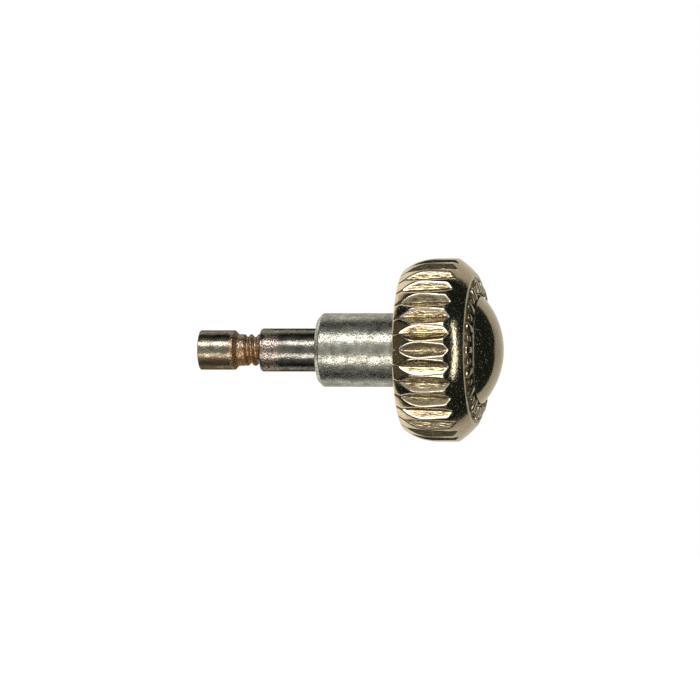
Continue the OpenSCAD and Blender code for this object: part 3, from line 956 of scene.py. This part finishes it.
# %% The post
POST_ROUND = 0.08       # rounding of the free edge
HEAD_T = 0.18           # thickness of the head
HOLE_R = 0.45           # threaded hole
HOLE_END = -2.44        # bottom of that hole, along X
MOUTH = 0.04            # chamfer at its mouth

post = lathe("hollow_post", rounded([
    (post_end, 0.0, 0.0),
    (post_end, head_r, TUBE_EDGE),
    (post_end - HEAD_T, head_r, FINE),
    (post_end - HEAD_T, POST_R, 0.0),
    (post_start, POST_R, POST_ROUND),
    (post_start, HOLE_R + MOUTH, FINE),
    (post_start + MOUTH, HOLE_R, FINE),
    (HOLE_END, HOLE_R, 0.0),
    (HOLE_END, 0.0, 0.0),
], closed=False), TUBE_SEGMENTS, closed=False, finish=post_steel)

# %% [markdown]
# The stem extension screws into the post. Between the barrel and the post a stretch of its thread
# lies open. A thread is a rule too: the radius depends only on how far a point lies along the axis
# less how far it lies round it. The next tool draws the blank in between the crests by that rule,
# and fades the thread out towards the barrel, where the die stopped.

# %% The thread tool
extension_start, extension_end, barrel_r = reach("stem_extension")

thread_sizes = {
    "Pitch": 0.225 * MM,
    "Crest": -4.395 * MM,               # a crest on the side at +Y, along X
    "Depth": 0.075 * MM,
    "Flank start": 0.04,                # share of a pitch, from the middle of the crest
    "Flank end": 0.46,                  # the same
    "Start": (BARREL_END + 0.14) * MM,
    "Run-out": 0.12 * MM,               # length over which the thread grows to its depth
    "End": (extension_end - 0.05) * MM,
    "Finish": extension_steel,
}
thread_tool, given = new_tool("thread tool", thread_sizes)
x, radius, angle = turned_place(thread_tool)
past_crest = add(thread_tool, MATH, (x, given["Crest"]), "SUBTRACT")
pitches = add(thread_tool, MATH, (past_crest, given["Pitch"]), "DIVIDE")
turns_round = add(thread_tool, MATH, (angle, WHOLE_TURN), "DIVIDE")
turns = add(thread_tool, MATH, (pitches, turns_round), "SUBTRACT")
from_crest = off_whole(thread_tool, turns)
flank = (from_crest, given["Flank start"], given["Flank end"])
valley = add(thread_tool, RANGE, flank, **SMOOTH)
grown_at = add(thread_tool, MATH, (given["Start"], given["Run-out"]), "ADD")
grown = add(thread_tool, RANGE, (x, given["Start"], grown_at), **SMOOTH)
before_end = add(thread_tool, MATH, (x, given["End"]), "LESS_THAN")
open_thread = add(thread_tool, MATH, (grown, before_end), "MULTIPLY")
cut_in = add(thread_tool, MATH, (valley, open_thread), "MULTIPLY")
drawn_in = add(thread_tool, MATH, (cut_in, given["Depth"]), "MULTIPLY")
kept_r = add(thread_tool, MATH, (radius, drawn_in), "SUBTRACT")
threaded = draw_in(thread_tool, given["Geometry"], radius, kept_r)
close_tool(thread_tool, threaded, given["Finish"])

# %% The extension, with its thread
BARREL_CHAMFER = 0.11
BARREL_ROUND = 0.06
SHANK_R = 0.44          # crest of the thread
SOCKET_LEN = 0.75
SOCKET_R = 0.45
THREAD_GAP = 0.011      # gap between rows of points
THREAD_SEGMENTS = 128   # points in each row

extension_points = spaced(rounded([
    (extension_end, 0.0, 0.0),
    (extension_end, SHANK_R, MOUTH),
    (BARREL_END, SHANK_R, 0.0),
    (BARREL_END - BARREL_CHAMFER, barrel_r, SOFT),
    (extension_start, barrel_r, BARREL_ROUND),
    (extension_start, SOCKET_R + MOUTH, FINE),
    (extension_start + MOUTH, SOCKET_R, FINE),
    (extension_start + SOCKET_LEN, SOCKET_R, FINE),
    (extension_start + SOCKET_LEN, 0.0, 0.0),
], closed=False), THREAD_GAP)
extension = lathe("stem_extension_rod", extension_points, THREAD_SEGMENTS, closed=False)
bake(extension, thread_tool, thread_sizes)

# %% [markdown]
# Each piece rides on the body that it belongs to: the tube stays with the watch, the rubber ring
# slides along the tube but doesn't turn, and all the rest turns and slides with the crown. Each also
# stands for the imported piece of the same place, and the table names a finish slot for it.

# %% Tie the pieces to the imported bodies
ties = (
    (tube, "tube", "case_tube", "tube_steel"),
    (seal, "seal", "crown_gasket", "seal_rubber"),
    (washer, "crown", "gasket_washer", "washer_steel"),
    (core, "crown", "crown_core", "core_steel"),
    (post, "crown", "crown_post", "post_steel"),
    (extension, "crown", "stem_extension", "extension_steel"),
    (fluted_cap, "crown", "crown_cap", "gilt"),
    (dome, "crown", "dome_inlay", "gilt_dome"),
    (ring_ornament, "crown", None, "gilt"),
)
for piece, body, node, slot in ties:
    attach(piece, body)
    if node:
        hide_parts(node)
    print(f"{piece.name} rides on {body}")

# %% [markdown]
# The studio. A small shiny part is lit by what it reflects, so the studio is built as a set of
# directions. The world draws what is large: a dark room, in which the side towards the camera glows
# faintly, and behind the part a white sweep that its edges pick up. The sweep is brightest straight
# behind the part, grows darker from left to right, and ends at a black flag. To the camera the world
# is plain white wherever it turns.
#
# Each of these fades between two levels. A level is how far a direction points along the view, or to
# the right, from -1 to 1.

# %% The room and the sweep
VIEW_DEGREES = 10.7             # the camera stands this far round towards the dome
VIEW_ANGLE = math.radians(VIEW_DEGREES)
SWEEP_EDGE = (0.18, 0.48)       # along the view: no sweep, all of it
SWEEP_MIDDLE = (0.965, 0.99)    # along the view, its brightest part
SWEEP_SLOPE = (-0.5, 0.62)      # light that it gains to the right, and has in the middle
FLAG_SHAPE = (0.95, 0.31)       # how much right, and up or down, count towards the flag's edge
FLAG_EDGE = (0.715, 0.68)       # that count: all hidden by the flag, nothing hidden
GLOW_EDGE = (0.72, 0.42)        # to either side: no glow, all of it
GLOW_POWER = 1.3                # how fast the glow falls off from the camera's side
GLOW_LIGHT = 0.38
ROOM_LIGHT = 0.013

world = bpy.data.worlds.new("studio")
bpy.context.scene.world = world
world.use_nodes = True
room = world.node_tree
room.nodes.clear()
towards = add(room, "ShaderNodeTexCoord").node.outputs["Generated"]
straight_on = (-math.sin(VIEW_ANGLE), math.cos(VIEW_ANGLE), 0.0)
behind = add(room, VECTOR_MATH, (towards, straight_on), "DOT_PRODUCT")
right, _, up = add(room, "ShaderNodeSeparateXYZ", (towards,)).node.outputs

# %% The light of the sweep
back_wall = add(room, RANGE, (behind, *SWEEP_EDGE), **SMOOTH)
up_or_down = add(room, MATH, (up,), "ABSOLUTE")
raised = add(room, MATH, (up_or_down, FLAG_SHAPE[1]), "MULTIPLY")
towards_flag = add(room, MATH, (right, FLAG_SHAPE[0], raised), "MULTIPLY_ADD")
past_flag = add(room, RANGE, (towards_flag, *FLAG_EDGE), **SMOOTH)
sweep = add(room, MATH, (back_wall, past_flag), "MULTIPLY")
falling_off = add(room, MATH, (right, *SWEEP_SLOPE), "MULTIPLY_ADD")
in_the_middle = add(room, RANGE, (behind, *SWEEP_MIDDLE))
paper_level = add(room, MATH, (falling_off, in_the_middle), "MAXIMUM")
paper_light = add(room, MATH, (paper_level, sweep), "MULTIPLY")

# %% The glow of the room, and the world as a whole
ahead = add(room, RANGE, (behind, 0.0, -1.0))
focused = add(room, MATH, (ahead, GLOW_POWER), "POWER")
to_a_side = add(room, MATH, (right,), "ABSOLUTE")
between_walls = add(room, RANGE, (to_a_side, *GLOW_EDGE), **SMOOTH)
glow = add(room, MATH, (focused, between_walls), "MULTIPLY")
glow_light = add(room, MATH, (glow, GLOW_LIGHT), "MULTIPLY")
seen_in_metal = add(room, "ShaderNodeBackground", ("#d4fff5", ROOM_LIGHT))
for tint, light in (("#fffff6", glow_light), ("#fffdf6", paper_light)):
    shine = add(room, "ShaderNodeBackground", (tint, light))
    seen_in_metal = add(room, "ShaderNodeAddShader", (seen_in_metal, shine))
seen_by_camera = add(room, "ShaderNodeBackground", ("#ffffff", 1.0))
is_camera = add(room, "ShaderNodeLightPath").node.outputs["Is Camera Ray"]
either = add(room, "ShaderNodeMixShader", (is_camera, seen_in_metal, seen_by_camera))
add(room, "ShaderNodeOutputWorld", {"Surface": either})
print("world:", len(room.nodes), "nodes")

# %% [markdown]
# The rest of the light comes from area lamps. A turned piece mirrors the camera across its axis, so
# the upper and the lower box stand as far to the left as the camera stands to the right, and each
# draws one long highlight. A narrow strip at the right, in a faint halo, lights the bevel and the
# dome. A card and a wall at the left, both dim, keep the back shoulder from going black.

# %% The soft boxes
LAMP_DISTANCE = 120


def soft_box(name, azimuth, elevation, width, height, radiance, hex_code):
    """Area lamp aimed at the part. Angles are degrees from the front, sizes mm."""
    a, e = math.radians(azimuth), math.radians(elevation)
    back = Vector((math.sin(a) * math.cos(e), -math.cos(a) * math.cos(e), math.sin(e)))
    lamp = bpy.data.lights.new(name, "AREA")
    lamp.shape = "RECTANGLE"
    lamp.size, lamp.size_y = width * MM, height * MM
    lamp.energy = radiance * math.pi * lamp.size * lamp.size_y
    lamp.color = colour(hex_code)[:3]
    box = put_in_scene(name, lamp)
    box.location = back * LAMP_DISTANCE * MM
    box.rotation_euler = (-back).to_track_quat("-Z", "Y").to_euler()
    print(f"{name}: {1000 * lamp.energy:.2f} mW")


for box_sizes in (
    ("upper_box", -VIEW_DEGREES, 36.5, 110, 40, 3.2, "#fffdfb"),
    ("lower_box", -VIEW_DEGREES, -30.5, 110, 38, 2.7, "#fffaf4"),
    ("side_strip", 75.5, 0, 8, 100, 3.2, "#f8fbff"),
    ("side_strip_halo", 75.5, 0, 22, 106, 0.30, "#f0faf0"),
    ("left_card", -106, 0, 34, 104, 0.17, "#fff6e8"),
    ("left_wall", -68, 0, 84, 120, 0.07, "#fff0d0"),
):
    soft_box(*box_sizes)

# %% [markdown]
# The floor is a sheet of matt white paper well below the part, which takes the soft shadow. Seen in
# the polished metal it would light up what should be dark, and it would shade the part from the
# lower box, so it is hidden from both. To the camera it has a little light of its own, which lifts
# it to the white of the room round it and leaves the shadow. From below it is clear, so the part can
# be seen from there.

# %% The floor
FLOOR_DROP = 14.0
FLOOR_HALF = 300.0
FLOOR_LIFT = 0.8        # light of its own, to the camera

floor_mesh = bpy.data.meshes.new("floor")
corners = [(x * FLOOR_HALF * MM, y * FLOOR_HALF * MM, -FLOOR_DROP * MM)
           for x, y in ((-1, -1), (1, -1), (1, 1), (-1, 1))]
floor_mesh.from_pydata(corners, [], [(0, 1, 2, 3)])
floor = put_in_scene("floor", floor_mesh)
floor.visible_glossy = False
floor.visible_shadow = False

paper = Finish("white paper sweep")
paper.lay("#efefec", 0.0, 0.9)
feed(paper.tree, "#ffffff", paper.shader.inputs["Emission Color"])
from_camera = add(paper.tree, "ShaderNodeLightPath").node.outputs["Is Camera Ray"]
lift = add(paper.tree, MATH, (from_camera, FLOOR_LIFT), "MULTIPLY")
feed(paper.tree, lift, paper.shader.inputs["Emission Strength"])
floor_mesh.materials.append(paper.done())
from_below = add(paper.tree, "ShaderNodeNewGeometry").node.outputs["Backfacing"]
clear = add(paper.tree, "ShaderNodeBsdfTransparent")
one_sided = add(paper.tree, "ShaderNodeMixShader", (from_below, paper.shader.outputs[0], clear))
feed(paper.tree, one_sided, paper.tree.nodes["Material Output"].inputs["Surface"])

# %% [markdown]
# The camera stands square to the axis but for a small turn towards the dome, on a long lens, so that
# the part is drawn almost without perspective, as in a catalogue.

# %% The camera
LENS = 400.0            # mm, with a sensor 36 mm wide
SENSOR = 36.0
FRAME_WIDTH = 19.46     # width of the picture at the part, mm
TARGET_X = -1.549       # the point of the axis in the middle of the picture, mm
CLIP = 20               # the camera sees from a 20th of its distance to 20 times as far

camera = put_in_scene("camera", bpy.data.cameras.new("camera"))
camera.data.lens = LENS
camera.data.sensor_width = SENSOR
distance = FRAME_WIDTH * LENS / SENSOR * MM
camera.location = (
    TARGET_X * MM + distance * math.sin(VIEW_ANGLE),
    -distance * math.cos(VIEW_ANGLE),
    0.0,
)
camera.rotation_euler = (math.pi / 2, 0.0, VIEW_ANGLE)
camera.data.clip_start = distance / CLIP
camera.data.clip_end = distance * CLIP
bpy.context.scene.camera = camera
bpy.context.scene.view_settings.view_transform = "Standard"
print(f"camera {1000 * distance:.0f} mm away")
